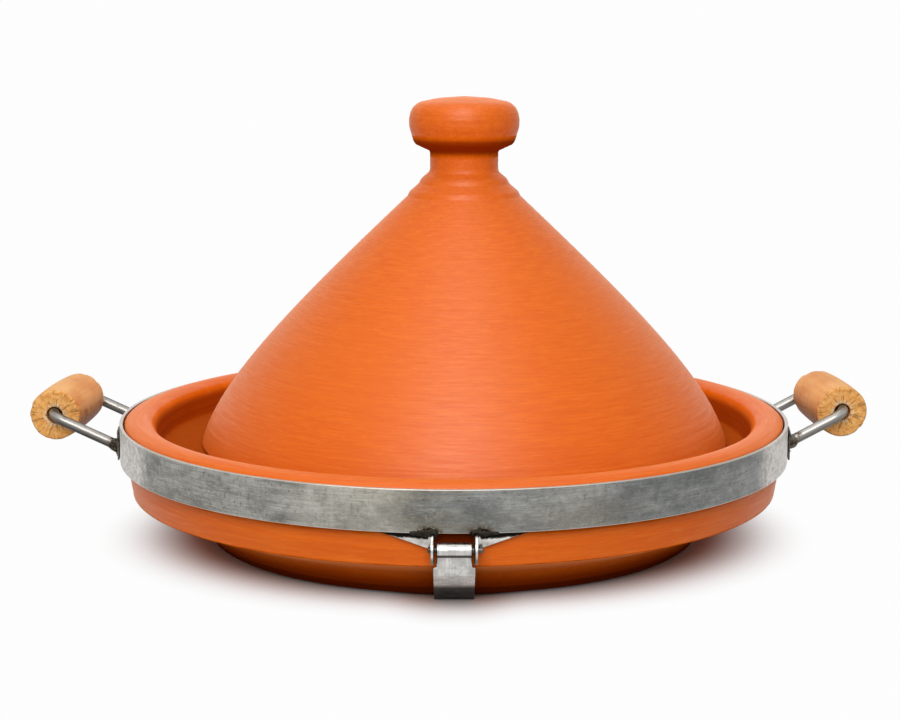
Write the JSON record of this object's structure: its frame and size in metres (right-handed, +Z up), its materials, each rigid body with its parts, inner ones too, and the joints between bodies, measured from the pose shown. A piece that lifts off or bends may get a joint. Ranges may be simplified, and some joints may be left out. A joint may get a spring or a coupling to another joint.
{
  "type": "tagine",
  "caption": "Terracotta tagine: a shallow dish with a tall conical lid, held in a steel hoop with wire handles, wooden grips and hinged clips under its base.",
  "frame": {"origin": "on the surface that the tagine stands on, on the axis of the hoop", "axes": "+Z up, -Y towards the front clip, +X from the left grip to the right one"},
  "size_m": [0.4025, 0.3272, 0.2101],
  "materials": {
    "dish_terracotta": "unglazed, matt, with throwing lines",
    "lid_terracotta": "unglazed, burnished to a slight sheen",
    "band_steel": "dull galvanised sheet",
    "rod_steel": "bright drawn wire",
    "weld_steel": "heat-blackened weld",
    "lug_steel": "dull strip, blackened at the welds",
    "pin_steel": "bright rivet",
    "clip_steel": "dull strap with small heat stains",
    "grip_wood": "turned, unvarnished"
  },
  "bodies": {
    "carrier": {"rim_band": "band_steel", "left_handle_rod": "rod_steel", "right_handle_rod": "rod_steel", "left_front_handle_pad": "weld_steel", "left_rear_handle_pad": "weld_steel", "right_front_handle_pad": "weld_steel", "right_rear_handle_pad": "weld_steel", "front_lug_left": "lug_steel", "front_lug_right": "lug_steel", "rear_left_lug_left": "lug_steel", "rear_left_lug_right": "lug_steel", "rear_right_lug_left": "lug_steel", "rear_right_lug_right": "lug_steel", "front_hinge_pin": "pin_steel", "rear_left_hinge_pin": "pin_steel", "rear_right_hinge_pin": "pin_steel"},
    "dish": {"dish": "dish_terracotta"},
    "lid": {"lid": "lid_terracotta"},
    "left_grip": {"left_grip": "grip_wood"},
    "right_grip": {"right_grip": "grip_wood"},
    "front_clip": {"front_clip": "clip_steel"},
    "rear_left_clip": {"rear_left_clip": "clip_steel"},
    "rear_right_clip": {"rear_right_clip": "clip_steel"}
  },
  "joints": [
    {"name": "dish_lift", "type": "slide", "parent": "carrier", "child": "dish", "axis": [0, 0, 1], "range_m": [0, 0.08]},
    {"name": "lid_lift", "type": "slide", "parent": "dish", "child": "lid", "axis": [0, 0, 1], "range_m": [0, 0.12]},
    {"name": "left_grip_turn", "type": "hinge", "parent": "carrier", "child": "left_grip", "pos_m": [-0.19006, 0.01329, 0.0586], "axis": [0.0698, 0.9976, 0], "continuous": true},
    {"name": "right_grip_turn", "type": "hinge", "parent": "carrier", "child": "right_grip", "pos_m": [0.18498, 0.01294, 0.0602], "axis": [-0.0698, 0.9976, 0], "continuous": true},
    {"name": "front_clip_swing", "type": "hinge", "parent": "carrier", "child": "front_clip", "pos_m": [0, -0.16003, 0.033], "axis": [-1, 0, 0], "range_deg": [0, 140]},
    {"name": "rear_right_clip_swing", "type": "hinge", "parent": "carrier", "child": "rear_right_clip", "pos_m": [0.13859, 0.08002, 0.033], "axis": [0.5, -0.866, 0], "range_deg": [0, 140]},
    {"name": "rear_left_clip_swing", "type": "hinge", "parent": "carrier", "child": "rear_left_clip", "pos_m": [-0.13859, 0.08002, 0.033], "axis": [0.5, 0.866, 0], "range_deg": [0, 140]}
  ]
}
